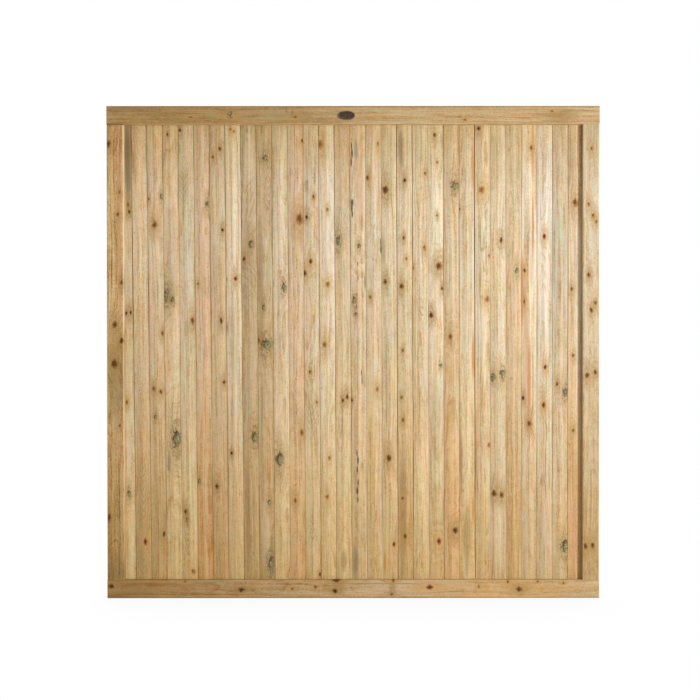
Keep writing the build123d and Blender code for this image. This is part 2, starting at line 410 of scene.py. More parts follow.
# Frame stains by node, with painted light and shade among them, in the same terms as the frame knots
FRAME_STAINS_AND_PAINTED_LIGHT = {
    "top_rail": [
        # The band at 68 mm is painted light on the rail's underside and lower arris.
        # The line at 3 mm is painted shade along the rail's upper arris.
        ("painted_underside_light", 915, 68, 1400, 2), ("edge", 915, 3, 1600, 2.5), ("rust", 95, 41, 60, 3),
        ("green", 386, 36, 22, 28), ("grey", 456, 32, 9, 26), ("grey", 668, 12, 5, 22),
        ("grey", 690, 30, 6, 16), ("brown", 735, 44, 30, 8), ("brown", 330, 46, 60, 6),
        ("brown", 230, 30, 120, 10), ("rust", 989, 40, 62, 4), ("rust", 1242, 35, 34, 4),
        ("rust", 1518, 35, 20, 4), ("brown", 1555, 46, 26, 5), ("grey", 1310, 40, 9, 5),
        ("brown", 1640, 34, 70, 8), ("brown", 1690, 40, 60, 30), ("green", 620, 34, 60, 24),
    ],
    "bottom_rail": [
        ("brown", 60, 1796, 130, 60), ("edge", 160, 1776, 150, 2.5), ("rust", 150, 1767, 130, 4),
        ("dirt", 500, 1800, 30, 10), ("dirt", 482, 1817, 5, 10), ("brown", 860, 1784, 24, 34),
        # The line at 1827 mm is painted shade along the rail's lower arris.
        ("brown", 1060, 1790, 14, 34), ("dirt", 20, 1822, 60, 6), ("edge", 915, 1827, 1600, 2.5),
        ("brown", 1540, 1806, 16, 20), ("brown", 1000, 1775, 260, 3), ("amber", 1500, 1796, 330, 50),
    ],
    "left_stile": [
        # The band at 63 mm is a painted highlight down the inner wall, which faces the lamp.
        # The black line at 69 mm is painted shade in the joint under the top rail.
        ("pink", 47, 420, 9, 420), ("pale", 63, 700, 4, 900), ("black", 30, 69, 60, 2),
        ("dirt", 30, 1745, 60, 80), ("dirt", 36, 1010, 40, 160),
    ],
}

# Stains on the boards: kind, millimetres from the left edge and from the top, half width, half height
STAINS = [
    ("grey", 80, 215, 14, 150), ("grey", 78, 200, 12, 170), ("dirt", 78, 130, 16, 90),
    ("shade", 132, 1490, 26, 260), ("green", 135, 1690, 20, 60), ("green", 141, 200, 8, 22),
    ("green", 232, 690, 24, 55), ("blue", 230, 1325, 6, 48), ("green", 258, 1245, 24, 70),
    ("green", 285, 300, 22, 70), ("green", 297, 827, 12, 30), ("brown", 445, 643, 6, 12),
    ("brown", 524, 1480, 9, 220), ("brown", 571, 640, 11, 230), ("green", 590, 880, 26, 40),
    ("blue", 608, 1695, 18, 50), ("blue", 617, 660, 5, 18), ("green", 700, 425, 12, 40),
    ("orange", 803, 128, 7, 40), ("brown", 880, 1690, 12, 45), ("black", 909, 148, 3, 16),
    ("black", 911, 176, 4, 20), ("black", 908, 208, 3, 20), ("blue", 925, 160, 8, 40),
    ("black", 911, 358, 5, 14), ("black", 910, 380, 4, 18), ("black", 912, 402, 3, 12),
    ("black", 932, 586, 2, 10), ("black", 933, 638, 2, 12), ("black", 959, 655, 2, 30),
    ("black", 929, 700, 2, 10), ("black", 927, 745, 3, 10), ("pink", 940, 290, 11, 230),
    ("black", 929, 1290, 3, 16), ("black", 932, 1316, 4, 18), ("black", 930, 1350, 3, 18),
    ("black", 933, 1400, 3, 14), ("black", 930, 1430, 5, 20), ("black", 932, 1462, 3, 14),
    ("black", 946, 990, 2, 14), ("black", 948, 1020, 2, 20), ("grey", 923, 1690, 12, 75),
    ("black", 1017, 505, 2, 16), ("black", 1018, 532, 3, 20), ("brown", 1027, 540, 8, 60),
    ("orange", 1033, 1700, 5, 40), ("grey", 1091, 155, 9, 75), ("brown", 1139, 1140, 4, 60),
    ("green", 1291, 300, 15, 40), ("orange", 1361, 230, 6, 110), ("orange", 1361, 930, 6, 90),
    ("orange", 1361, 1505, 6, 70), ("brown", 1317, 1330, 6, 140), ("moss", 1386, 470, 4, 66),
    ("moss", 1401, 500, 4, 40), ("moss", 1394, 533, 9, 8), ("moss", 1385, 655, 4, 62),
    ("moss", 1392, 710, 9, 8), ("moss", 1400, 605, 4, 16), ("green", 1463, 1490, 10, 40),
    ("green", 1527, 240, 12, 26), ("green", 1527, 935, 14, 34), ("orange", 1582, 150, 6, 130),
    ("orange", 1583, 440, 4, 130), ("orange", 1544, 690, 4, 130), ("pink", 1553, 690, 11, 130),
    ("orange", 1569, 1020, 7, 170), ("orange", 1570, 1180, 12, 20), ("orange", 1570, 1240, 3, 45),
    ("pink", 1558, 960, 14, 330), ("mint", 1684, 458, 16, 55), ("green", 1700, 1075, 17, 45),
    ("green", 1692, 1630, 20, 50), ("pink", 1735, 1610, 12, 150), ("brown", 1617, 1390, 8, 30),
    ("brown", 1340, 1600, 14, 130), ("brown", 1100, 1500, 16, 220), ("shade", 188, 1560, 24, 200),
    ("shade", 241, 530, 24, 200), ("shade", 472, 850, 22, 160), ("shade", 529, 690, 24, 330),
    ("shade", 1106, 210, 24, 140), ("shade", 1221, 1180, 24, 170), ("shade", 1452, 210, 22, 130),
    ("shade", 1568, 520, 20, 160), ("shade", 1725, 200, 24, 140), ("light", 529, 200, 18, 120),
    ("light", 645, 1190, 24, 180), ("light", 587, 1560, 20, 180), ("light", 1394, 850, 22, 160),
    ("light", 1452, 1550, 20, 180), ("light", 1625, 560, 24, 230), ("light", 1725, 530, 12, 150),
    ("light", 183, 520, 20, 150),
]

# Arched ends of the growth rings: millimetres from the left and from the top, half width, half height
ARCHES = [
    (705, 1130, 16, 40), (762, 1150, 26, 80), (1172, 760, 22, 60), (285, 300, 24, 110),
    (135, 1430, 18, 160), (135, 1690, 22, 70), (600, 280, 18, 190), (545, 1210, 24, 90),
    (300, 1600, 20, 130), (765, 1570, 20, 70),
]


class Wire:
    """A node socket that takes part in arithmetic."""

    def __init__(self, tree, socket):
        self.tree = tree
        self.socket = socket

    def math(self, operation, *others):
        node = add_node(self.tree, "ShaderNodeMath", {"operation": operation})
        for place, value in enumerate((self, *others)):
            plug(node.inputs[place], value)
        return Wire(self.tree, node.outputs[0])

    def __add__(self, other):
        return self.math("ADD", other)

    def __sub__(self, other):
        return self.math("SUBTRACT", other)

    def __mul__(self, other):
        return self.math("MULTIPLY", other)

    def __truediv__(self, other):
        return self.math("DIVIDE", other)

    def smooth(self, low, high):
        """Rises from 0 at low to 1 at high."""
        settings = {"interpolation_type": "SMOOTHSTEP"}
        node = add_node(self.tree, "ShaderNodeMapRange", settings, {"Value": self})
        plug(node.inputs[1], low)
        plug(node.inputs[2], high)
        return Wire(self.tree, node.outputs[0])

    def split(self):
        node = add_node(self.tree, "ShaderNodeSeparateXYZ", inputs={0: self})
        return [Wire(self.tree, socket) for socket in node.outputs]


def plug(socket, value):
    """Links a wire to a socket, or sets a plain value on it."""
    if isinstance(value, Wire):
        value.tree.links.new(value.socket, socket)
    else:
        socket.default_value = value


def add_node(tree, kind, settings=None, inputs=None):
    node = tree.nodes.new(kind)
    for name, value in (settings or {}).items():
        setattr(node, name, value)
    for name, value in (inputs or {}).items():
        plug(node.inputs[name], value)
    return node


def wire_from(tree, kind, settings=None, inputs=None, output=0):
    return Wire(tree, add_node(tree, kind, settings, inputs).outputs[output])


def combine(tree, x, y, z):
    return wire_from(tree, "ShaderNodeCombineXYZ", inputs={0: x, 1: y, 2: z})


def noise(tree, vector, detail=2.0, roughness=0.5):
    inputs = {"Vector": vector, "Scale": 1.0, "Detail": detail, "Roughness": roughness}
    return wire_from(tree, "ShaderNodeTexNoise", inputs=inputs)


def line_noise(tree, value, detail=1.0):
    inputs = {"W": value, "Scale": 1.0, "Detail": detail}
    return wire_from(tree, "ShaderNodeTexNoise", {"noise_dimensions": "1D"}, inputs)


def blend(tree, share, first, second, kind="MIX"):
    """Mixes two colours."""
    settings = {"data_type": "RGBA", "blend_type": kind}
    return wire_from(tree, "ShaderNodeMix", settings, {0: share, 6: first, 7: second}, output=2)


def open_tree(name, kind, inputs, outputs):
    """New node group with named sockets; gives the tree and a wire for every input."""
    tree = bpy.data.node_groups.new(name, kind)
    for label, socket in inputs.items():
        tree.interface.new_socket(label, in_out="INPUT", socket_type="NodeSocket" + socket)
    for label, socket in outputs.items():
        tree.interface.new_socket(label, in_out="OUTPUT", socket_type="NodeSocket" + socket)
    ports = add_node(tree, "NodeGroupInput").outputs
    return tree, {label: Wire(tree, ports[label]) for label in inputs}


def close_tree(tree, results):
    add_node(tree, "NodeGroupOutput", inputs=results)
    return tree


def use_group(tree, group, inputs):
    """Places a shader group in a material and gives a wire for every output."""
    node = add_node(tree, "ShaderNodeGroup", {"node_tree": group}, inputs)
    return {socket.name: Wire(tree, socket) for socket in node.outputs}


def paint(code):
    """Linear colour for a six-digit screen colour."""
    shares = [int(code[place:place + 2], 16) / 255 for place in (0, 2, 4)]
    linear = [s / 12.92 if s <= 0.04045 else ((s + 0.055) / 1.055) ** 2.4 for s in shares]
    return (*linear, 1.0)


def floats(*labels):
    """Number sockets by label."""
    return {label: "Float" for label in labels}


def object_place(tree):
    return wire_from(tree, "ShaderNodeTexCoord", output=3)


def scaled(tree, vector, scale):
    return wire_from(tree, "ShaderNodeVectorMath", {"operation": "SCALE"}, {0: vector, "Scale": scale})


def new_object(name, data):
    """Object in the scene, at the origin."""
    thing = bpy.data.objects.new(name, data)
    bpy.context.collection.objects.link(thing)
    return thing


FIGURE = ("Late wood", *GRAINS, *FLECKS)
PITH = ("Pith across", "Pith depth", "Ring width", "Wander")
MARK = ("Across", "Along", "Half width", "Half height")


def pine_figure_group():
    """Growth rings round a wandering pith, with streaks, thin lines and fibres along the grain."""
    inputs = {"Position": "Vector", **floats(*PITH, "Shift", "Seed")}
    tree, given = open_tree("Pine figure", "ShaderNodeTree", inputs, floats(*FIGURE))
    across, depth, along = given["Position"].split()
    seed, shift = given["Seed"], given["Shift"]
    drift = (line_noise(tree, along * DRIFT_RATE + seed * 7.1) - 0.5) * given["Wander"]
    rise = (line_noise(tree, along * RISE_RATE + seed * 3.7 + 40.0) - 0.5) * given["Wander"]
    from_pith = across - given["Pith across"] + drift
    off_pith = depth - given["Pith depth"] + rise
    wide, long = FLUTTER_GRAIN
    flutter = noise(tree, combine(tree, across * wide + seed, depth * wide, along * long)) - 0.5
    radius = (from_pith * from_pith + off_pith * off_pith).math("SQRT") + flutter * RING_FLUTTER + shift
    rings = radius / given["Ring width"]
    rings = rings + (line_noise(tree, rings * 0.35 + seed * 11.0) - 0.5) * RING_SPREAD
    phase = rings.math("FRACT")
    ring_number = {"W": rings.math("FLOOR") + seed}
    ring_tone = wire_from(tree, "ShaderNodeTexWhiteNoise", {"noise_dimensions": "1D"}, ring_number)
    figure = {"Late wood": phase.smooth(*LATE_WOOD) * phase.smooth(*RING_END) * (ring_tone * 0.9 + 0.3)}
    bent = across + shift * STREAK_BEND + drift * STREAK_DRIFT
    for label, (wide, long, detail, roughness, step) in GRAINS.items():
        place = combine(tree, bent * wide + seed * step, depth * wide, along * long)
        figure[label] = noise(tree, place, detail, roughness)
    for label, (wide, long, detail, roughness) in FLECKS.items():
        place = combine(tree, across * wide, depth * wide + seed, along * long)
        figure[label] = noise(tree, place, detail, roughness)
    wide, long = SPOT_GRAIN
    place = combine(tree, across * wide + seed, depth * wide, along * long)
    spots = {"Vector": place, "Scale": 1.0, "Detail": 4.0, "Roughness": 0.95}
    clouds = wire_from(tree, "ShaderNodeTexNoise", inputs=spots, output=1).split()
    for cloud, (label, share) in zip(clouds, SPOT_SHARES.items()):
        figure[label] = figure[label] + (cloud - 0.5) * share
    return close_tree(tree, figure)


def pine_colour_group():
    """Colour of planed pine from its figure: what is darker is browner too, and hues drift a little."""
    inputs = {"Tone": "Color", **floats("Contrast", *FIGURE)}
    tree, given = open_tree("Pine colour", "ShaderNodeTree", inputs, {"Color": "Color"})
    contrast = given["Contrast"]
    broad = given["Streak"].smooth(*STREAK_RANGE) * -STREAK_DEPTH + MEAN_LIGHT[0]
    thin = given["Line"].smooth(*LINE_RANGE) * -LINE_DEPTH - given["Late wood"] * LATE_DEPTH + MEAN_LIGHT[1]
    flecks = (given["Mottle"] - 0.5) * MOTTLE_DEPTH + (given["Fibre"] - 0.5) * FIBRE_DEPTH
    light = ((broad + thin + flecks) * contrast + 1.0).math("MAXIMUM", LEAST_LIGHT)
    light = light - (light - 1.0).math("MAXIMUM", 0.0) * GLARE_LOSS
    hue = contrast.math("MINIMUM", 1.0)
    warm = (given["Warmth"] - 0.5) * hue
    moss = (given["Moss"] - 0.5) * hue
    red = light.math("POWER", RED_FALL) + warm * WARM_SHARES[0] - moss * MOSS_SHARES[0]
    green = light + moss * MOSS_SHARES[1]
    blue = light.math("POWER", BLUE_FALL) - warm * WARM_SHARES[1] - moss * MOSS_SHARES[2]
    colour = blend(tree, 1.0, given["Tone"], combine(tree, red, green, blue), "MULTIPLY")
    specks = given["Speck"].smooth(*SPECK_RANGE) * SPECK_COVER
    return close_tree(tree, {"Color": blend(tree, specks, colour, paint(SPECK))})


def from_mark(given):
    """How far a point is from the middle of a mark, in the mark's half widths and half heights."""
    across, _, along = given["Position"].split()
    sideways = (across - given["Across"]) / given["Half width"]
    lengthways = (along - given["Along"]) / given["Half height"]
    return sideways, lengthways


def torn_span(given):
    """Distance from the middle of a mark, in its half sizes, with an edge that follows the streaks."""
    sideways, lengthways = from_mark(given)
    span = (sideways * sideways + lengthways * lengthways).math("SQRT")
    return span + (given["Streak"] - 0.5) * MARK_TEAR


def knot_flow_group():
    """Bends the rings round a knot and tells how far off its body and its halo a point is, in radii."""
    inputs = {"Position": "Vector", "Warp": "Vector", **floats("Shift", *MARK, "Bend", "Ragged")}
    outputs = floats("Shift", "Distance", "Spread", "Side")
    tree, given = open_tree("Knot flow", "ShaderNodeTree", inputs, outputs)
    sideways, lengthways = from_mark(given)
    warp_across, warp_along, _ = given["Warp"].split()
    stretched = lengthways * KNOT_STRETCH
    push = ((sideways * sideways + stretched * stretched) * -BEND_DECAY).math("EXPONENT") * given["Bend"]
    gain = given["Ragged"] * 1.5 + 0.5
    near = (sideways + warp_across * gain).math("ABSOLUTE").math("POWER", KNOT_ROUNDNESS)
    level = (lengthways + warp_along * gain).math("ABSOLUTE").math("POWER", KNOT_ROUNDNESS)
    distance = (near + level).math("POWER", 1 / KNOT_ROUNDNESS)
    far = sideways + warp_along * 2.0
    tall = stretched + warp_across * 1.5
    spread = (far * far + tall * tall).math("SQRT")
    side = lengthways * HEART_TILT[0] - sideways * HEART_TILT[1]
    results = {"Shift": given["Shift"] + push, "Distance": distance, "Spread": spread, "Side": side}
    return close_tree(tree, results)


def knot_colour_group():
    """Lays a knot's halo, whiskers, body and heart over the timber."""
    measures = ("Distance", "Spread", "Side", "Mottle", "Streak", "Ragged", "Heart size", "Heart side")
    inputs = {"Color": "Color", "Heart": "Color", "Body": "Color", "Halo": "Color", **floats(*measures)}
    tree, given = open_tree("Knot colour", "ShaderNodeTree", inputs, {"Color": "Color"})
    ragged, mottle, size = given["Ragged"], given["Mottle"], given["Heart size"]
    patchy = mottle.smooth(*KNOT_PATCHES)
    torn = given["Distance"] + (mottle - 0.5) * (ragged * 1.6 + 0.4)
    flame = given["Spread"] + (given["Streak"] - 0.5) * 4.0
    swirl = (given["Spread"] * WHISKER_TURNS + mottle * 1.6).math("SINE")
    halo = flame.smooth(*HALO_REACH) * (patchy * 0.45 + 0.35) * (ragged * -0.6 + 1.2)
    whiskers = swirl.smooth(0.1, 0.9) * flame.smooth(*WHISKER_REACH) * ragged * (patchy * 0.3 + 0.25)
    body = torn.smooth(*BODY_EDGE) * (patchy * ragged * 0.3 - ragged * 0.2 + 0.95)
    holes = ragged * ragged * 0.4
    core = (torn + given["Side"] * given["Heart side"]).smooth(size, size * 0.4)
    heart = core * (patchy * holes - holes + 0.92)
    shade = (mottle - 0.5) * ragged * 4.0 + 1.0
    face = blend(tree, 1.0, given["Heart"], combine(tree, shade, shade, shade), "MULTIPLY")
    colour = blend(tree, halo, given["Color"], given["Halo"])
    colour = blend(tree, whiskers, colour, paint(WHISKER))
    colour = blend(tree, body, colour, given["Body"])
    return close_tree(tree, {"Color": blend(tree, heart, colour, face)})


def stain_and_light_group():
    """Lays a long, streaky stain over the timber; some kinds lay painted light and painted shade instead."""
    inputs = {"Color": "Color", "Position": "Vector", "Stain and painted light": "Color", **floats("Streak", *MARK, "Cover")}
    tree, given = open_tree("Stain and painted light", "ShaderNodeTree", inputs, {"Color": "Color"})
    cover = torn_span(given).smooth(*STAIN_EDGE) * given["Cover"]
    return close_tree(tree, {"Color": blend(tree, cover, given["Color"], given["Stain and painted light"])})


def arch_group():
    """Draws the pointed arches that growth rings make where the saw leaves them."""
    inputs = {"Color": "Color", "Position": "Vector", **floats("Streak", "Mottle", *MARK)}
    tree, given = open_tree("Arched grain", "ShaderNodeTree", inputs, {"Color": "Color"})
    along = given["Position"].split()[2]
    sideways, _ = from_mark(given)
    point = sideways.math("ABSOLUTE").math("POWER", 1.3) * ARCH_POINT
    rings = along * ARCH_PITCH - point + given["Streak"] * 9.0 + given["Mottle"] * 4.0
    lines = rings.math("SINE").smooth(*ARCH_LINE) * torn_span(given).smooth(*ARCH_EDGE) * ARCH_COVER
    return close_tree(tree, {"Color": blend(tree, lines, given["Color"], paint(WHISKER))})


def end_darkening_group():
    """Deepens a timber towards its head and its foot."""
    inputs = {"Color": "Color", "Height": "Float"}
    tree, given = open_tree("End darkening", "ShaderNodeTree", inputs, {"Color": "Color"})
    colour = given["Color"]
    for start, full, tint in (HEAD_DARKENING, FOOT_DARKENING):
        colour = blend(tree, given["Height"].smooth(start, full), colour, paint(tint), "MULTIPLY")
    return close_tree(tree, {"Color": colour})


def joint_tint_group():
    """Runs a patchy tint down the two edges of a board's face, painted shade and dirt where a joint stands
    open, and painted light on the arrises of joints that look closed.
    """
    inputs = {"Color": "Color", "Position": "Vector", **floats("Half face", "Seed", "Left", "Right")}
    tree, given = open_tree("Joint tint", "ShaderNodeTree", inputs, {"Color": "Color"})
    across, _, along = given["Position"].split()
    share = across.math("ABSOLUTE") / given["Half face"]
    on_right = across.math("GREATER_THAN", 0.0)
    run = line_noise(tree, along * 3.0 + given["Seed"] * 13.0 + on_right * 5.0).smooth(*JOINT_RUNS)
    tinted = blend(tree, share.smooth(*JOINT_REACH) * run * JOINT_COVER, given["Color"], paint(JOINT_TINT))
    # painted shade and dirt on this edge; below 0, painted light on its arris
    dirt = given["Left"] + (given["Right"] - given["Left"]) * on_right
    edge = share.smooth(*SHADE_AND_DIRT_REACH)
    joint_shade_and_dirt = edge * dirt.math("MAXIMUM", 0.0) * (run * 0.4 + 0.7)
    # painted light and wear on the arrises of joints that look closed
    bare = edge * (dirt * -1.0).math("MAXIMUM", 0.0)
    arris_lightened = blend(tree, bare, tinted, paint(ARRIS_LIGHT_AND_WEAR))
    return close_tree(tree, {"Color": blend(tree, joint_shade_and_dirt, arris_lightened, paint(JOINT_SHADE))})


GROUPS = {
    "end darkening": end_darkening_group(),
    "joint tint": joint_tint_group(),
    "figure": pine_figure_group(),
    "colour": pine_colour_group(),
    "knot flow": knot_flow_group(),
    "knot colour": knot_colour_group(),
    "stain and painted light": stain_and_light_group(),
    "arch": arch_group(),
}


class Lie:
    """How a timber lies in the panel: its grain's direction and the line its middle follows."""

    def __init__(self, upright, start, lean=0.0):
        self.upright = upright
        self.start = start
        self.lean = lean

    def local(self, x, z):
        """Across and along the grain, for a point on the panel."""
        if self.upright:
            return x - self.start - self.lean * z, z
        return z - self.start, x

    def position(self, tree):
        """Vector of across, depth and along, from the object's own coordinates."""
        x, y, z = object_place(tree).split()
        across, along = (x - self.start - z * self.lean, z) if self.upright else (z - self.start, x)
        return combine(tree, across, y, along)


def new_material(name):
    """Empty node material with a Principled shader; gives the material, its tree and the shader."""
    material = bpy.data.materials.new(name)
    material.use_nodes = True
    tree = material.node_tree
    return material, tree, tree.nodes["Principled BSDF"]


def knot_warp(tree, position):
    """Ragged offset that all knots of a timber share."""
    scale = {0: position, 1: combine(tree, *KNOT_GRAIN)}
    grid = wire_from(tree, "ShaderNodeVectorMath", {"operation": "MULTIPLY"}, scale)
    cloud = {"Vector": grid, "Scale": 1.0, "Detail": 2.0}
    colour = wire_from(tree, "ShaderNodeTexNoise", inputs=cloud, output=1)
    middle = (0.5, 0.5, 0.5)
    return wire_from(tree, "ShaderNodeVectorMath", {"operation": "SUBTRACT"}, {0: colour, 1: middle})


def bend_round_knots(tree, position, knots):
    """Bends the rings round every knot; gives the bend and what each knot's colour needs."""
    warp = knot_warp(tree, position)
    shift = 0.0
    flows = []
    for kind, *mark in knots:
        half_width = mark[2]
        inputs = {"Position": position, "Warp": warp, "Shift": shift, "Bend": half_width * KNOT_BEND,
                  "Ragged": KNOT_KINDS[kind][3], **dict(zip(MARK, mark))}
        flow = use_group(tree, GROUPS["knot flow"], inputs)
        shift = flow.pop("Shift")
        flows.append((kind, flow))
    return shift, flows


def lay(tree, group, colour, inputs):
    """Passes a colour through one of the groups that lay something over it."""
    return use_group(tree, GROUPS[group], {"Color": colour, **inputs})["Color"]


def timber_material(name, lie, tones, fade, contrast, pith, knots, stains_and_painted_light, seed, joints=None, arches=()):
    """Planed pine with its own growth rings, knots and stains, and the painted light and shade that some
    marks lay.
    """
    material, tree, shader = new_material(name)
    position = lie.position(tree)
    shift, flows = bend_round_knots(tree, position, knots)
    inputs = {"Position": position, "Shift": shift, "Seed": seed, **dict(zip(PITH, pith))}
    figure = use_group(tree, GROUPS["figure"], inputs)
    first, second = (paint(TONES[tone]) for tone in tones)
    along = position.split()[2]
    tone = blend(tree, along.smooth(*fade), first, second)
    colour = use_group(tree, GROUPS["colour"], {"Tone": tone, "Contrast": contrast, **figure})["Color"]
    if lie.upright:
        colour = lay(tree, "end darkening", colour, {"Height": along})
    if joints:
        inputs = {"Position": position, "Half face": BOARD_FACE / 2, "Seed": seed, "Left": joints[0],
                  "Right": joints[1]}
        colour = lay(tree, "joint tint", colour, inputs)
    streaky = {"Position": position, "Streak": figure["Streak"]}
    for _, *mark in arches:
        colour = lay(tree, "arch", colour, {**streaky, "Mottle": figure["Mottle"], **dict(zip(MARK, mark))})
    for kind, *mark in stains_and_painted_light:
        code, cover = STAIN_AND_PAINTED_LIGHT_KINDS[kind]
        inputs = {**streaky, "Stain and painted light": paint(code), "Cover": cover, **dict(zip(MARK, mark))}
        colour = lay(tree, "stain and painted light", colour, inputs)
    mottle = noise(tree, scaled(tree, position, KNOT_MOTTLE), 2.0, 0.6)
    for kind, flow in flows:
        *codes, ragged, heart_size, heart_side = KNOT_KINDS[kind]
        heart, body, halo = (paint(code) for code in codes)
        inputs = {"Mottle": mottle, "Streak": figure["Streak"], "Heart": heart, "Body": body, "Halo": halo,
                  "Ragged": ragged, "Heart size": heart_size, "Heart side": heart_side, **flow}
        colour = lay(tree, "knot colour", colour, inputs)
    plug(shader.inputs["Base Color"], colour)
    least, added = PINE_ROUGHNESS
    plug(shader.inputs["Roughness"], figure["Fibre"] * added + least)
    shader.inputs["Specular IOR Level"].default_value = PINE_SPECULAR
    relief = figure["Late wood"] * 0.6 + figure["Fibre"] * 0.5
    inputs = {"Strength": 0.35, "Distance": PINE_RELIEF, "Height": relief}
    plug(shader.inputs["Normal"], wire_from(tree, "ShaderNodeBump", inputs=inputs))
    return material


def section_switch(tree, outline):
    """Turns half an outline into the closed section that it makes with its mirror image."""
    index = wire_from(tree, "GeometryNodeInputIndex")
    last = 2 * len(outline) - 1
    folded = index.math("MINIMUM", index * -1.0 + last)
    side = index.math("LESS_THAN", len(outline) - 0.5) * 2.0 - 1.0
    switch = add_node(tree, "GeometryNodeIndexSwitch", {"data_type": "VECTOR"})
    for _ in outline[2:]:
        switch.index_switch_items.new()
    plug(switch.inputs[0], folded)
    for place, (x, y) in enumerate(outline, start=1):
        plug(switch.inputs[place], combine(tree, x, y, 0.0))
    x, y, _ = Wire(tree, switch.outputs[0]).split()
    ring = wire_from(tree, "GeometryNodeCurvePrimitiveCircle", inputs={"Resolution": last + 1})
    inputs = {"Geometry": ring, "Position": combine(tree, x, y * side, 0.0)}
    return wire_from(tree, "GeometryNodeSetPosition", inputs=inputs)


def end_stub(tree, given, start, end, place):
    """Tenon between two heights, as wide as the stub inputs say."""
    width = given["Stub far"] - given["Stub near"]
    middle = (given["Stub far"] + given["Stub near"]) * 0.5 + place
    size = combine(tree, width, given["Stub thickness"], end - start)
    cube = wire_from(tree, "GeometryNodeMeshCube", inputs={"Size": size})
    centre = combine(tree, middle, 0.0, (start + end) * 0.5)
    return wire_from(tree, "GeometryNodeTransform", inputs={"Geometry": cube, "Translation": centre})


def ridged_board_tree():
    """Tongue-and-groove board, thickest along the ridge of each face, that leans between two places."""
    sizes = ("Face", "Thickness", "Ridge rise", "Ridge ease", "Arris", "Tongue length", "Tongue thickness",
             "Groove depth", "Groove width", "Foot", "Head", "Foot place", "Head place", "Stub near",
             "Stub far", "Stub thickness", "Foot stub", "Head stub", "Unevenness")
    inputs = {**{label: "Float" for label in sizes}, "Rows": "Int", "Seed": "Int", "Material": "Material"}
    tree, given = open_tree("Ridged board", "GeometryNodeTree", inputs, {"Geometry": "Geometry"})
    half, rise, ease, arris = given["Face"] * 0.5, given["Ridge rise"], given["Ridge ease"], given["Arris"]
    ridge = given["Thickness"] * -0.5
    edge = ridge + rise
    fall = rise / half
    tongue = given["Tongue thickness"] * -0.5
    groove = given["Groove width"] * -0.5
    # From the joint over the rounded arris and up the flat to the eased ridge
    slope = [
        (half, edge + arris),
        (half - arris * 0.3, edge - arris * 0.3 * fall + arris * 0.3),
        (half - arris, edge - arris * fall),
        (half - arris * 1.8, edge - arris * 1.8 * fall),
        (ease * 1.8, ridge + ease * 1.8 * fall),
        (ease, ridge + ease * fall),
        (ease * 0.4, ridge + ease * 0.55 * fall),
    ]
    left = [(x * -1.0, y) for x, y in slope]
    outline = [(given["Groove depth"] - half, groove), (half * -1.0, groove), *left, *reversed(slope),
               (half, tongue), (half + given["Tongue length"], tongue)]
    section = section_switch(tree, outline)
    foot, head = given["Foot"], given["Head"]
    ends = {"Start": combine(tree, 0.0, 0.0, foot), "End": combine(tree, 0.0, 0.0, head)}
    line = wire_from(tree, "GeometryNodeCurvePrimitiveLine", inputs=ends)
    path = wire_from(tree, "GeometryNodeResampleCurve", inputs={"Curve": line, "Count": given["Rows"]})
    swept = {"Curve": path, "Profile Curve": section, "Fill Caps": True}
    board = wire_from(tree, "GeometryNodeCurveToMesh", inputs=swept)
    x, _, z = wire_from(tree, "GeometryNodeInputPosition").split()
    share = (z - foot) / (head - foot)
    place = given["Foot place"] + (given["Head place"] - given["Foot place"]) * share
    waver = noise(tree, combine(tree, x * WAVER_GRAIN[0], given["Seed"], z * WAVER_GRAIN[1])) - 0.5
    bow = noise(tree, combine(tree, given["Seed"], x * BOW_GRAIN[0], z * BOW_GRAIN[1])) - 0.5
    offset = combine(tree, place + waver * given["Unevenness"] * 2.0, bow * given["Unevenness"] * 4.0, 0.0)
    board = wire_from(tree, "GeometryNodeSetPosition", inputs={"Geometry": board, "Offset": offset})
    bite = given["Thickness"] * 0.2
    foot_stub = end_stub(tree, given, given["Foot stub"], foot + bite, given["Foot place"])
    head_stub = end_stub(tree, given, head - bite, given["Head stub"], given["Head place"])
    join = add_node(tree, "GeometryNodeJoinGeometry")
    for shape in (board, foot_stub, head_stub):
        plug(join.inputs[0], shape)
    whole = wire_from(tree, "GeometryNodeRealizeInstances", inputs={"Geometry": Wire(tree, join.outputs[0])})
    finish = {"Geometry": whole, "Material": given["Material"]}
    return close_tree(tree, {"Geometry": wire_from(tree, "GeometryNodeSetMaterial", inputs=finish)})


def grow(name, tree, values, start=None):
    """Runs a Geometry Nodes tree and keeps what it makes as a plain mesh piece."""
    piece = new_object(name, start or bpy.data.meshes.new(name))
    modifier = piece.modifiers.new(tree.name, "NODES")
    modifier.node_group = tree
    for socket in tree.interface.items_tree:
        if socket.in_out == "INPUT" and socket.name in values:
            modifier[socket.identifier] = values[socket.name]
    evaluated = piece.evaluated_get(bpy.context.evaluated_depsgraph_get())
    mesh = bpy.data.meshes.new_from_object(evaluated)
    mesh.materials.pop(index=0)
    piece.modifiers.remove(modifier)
    piece.data = mesh
    return piece


def add_box(shape, low, high):
    """Adds a square-edged box between two corners to a bmesh."""
    corners = bmesh.ops.create_cube(shape, size=1.0)["verts"]
    for corner in corners:
        corner.co = [(a + b) / 2 + share * (b - a) for a, b, share in zip(low, high, corner.co)]


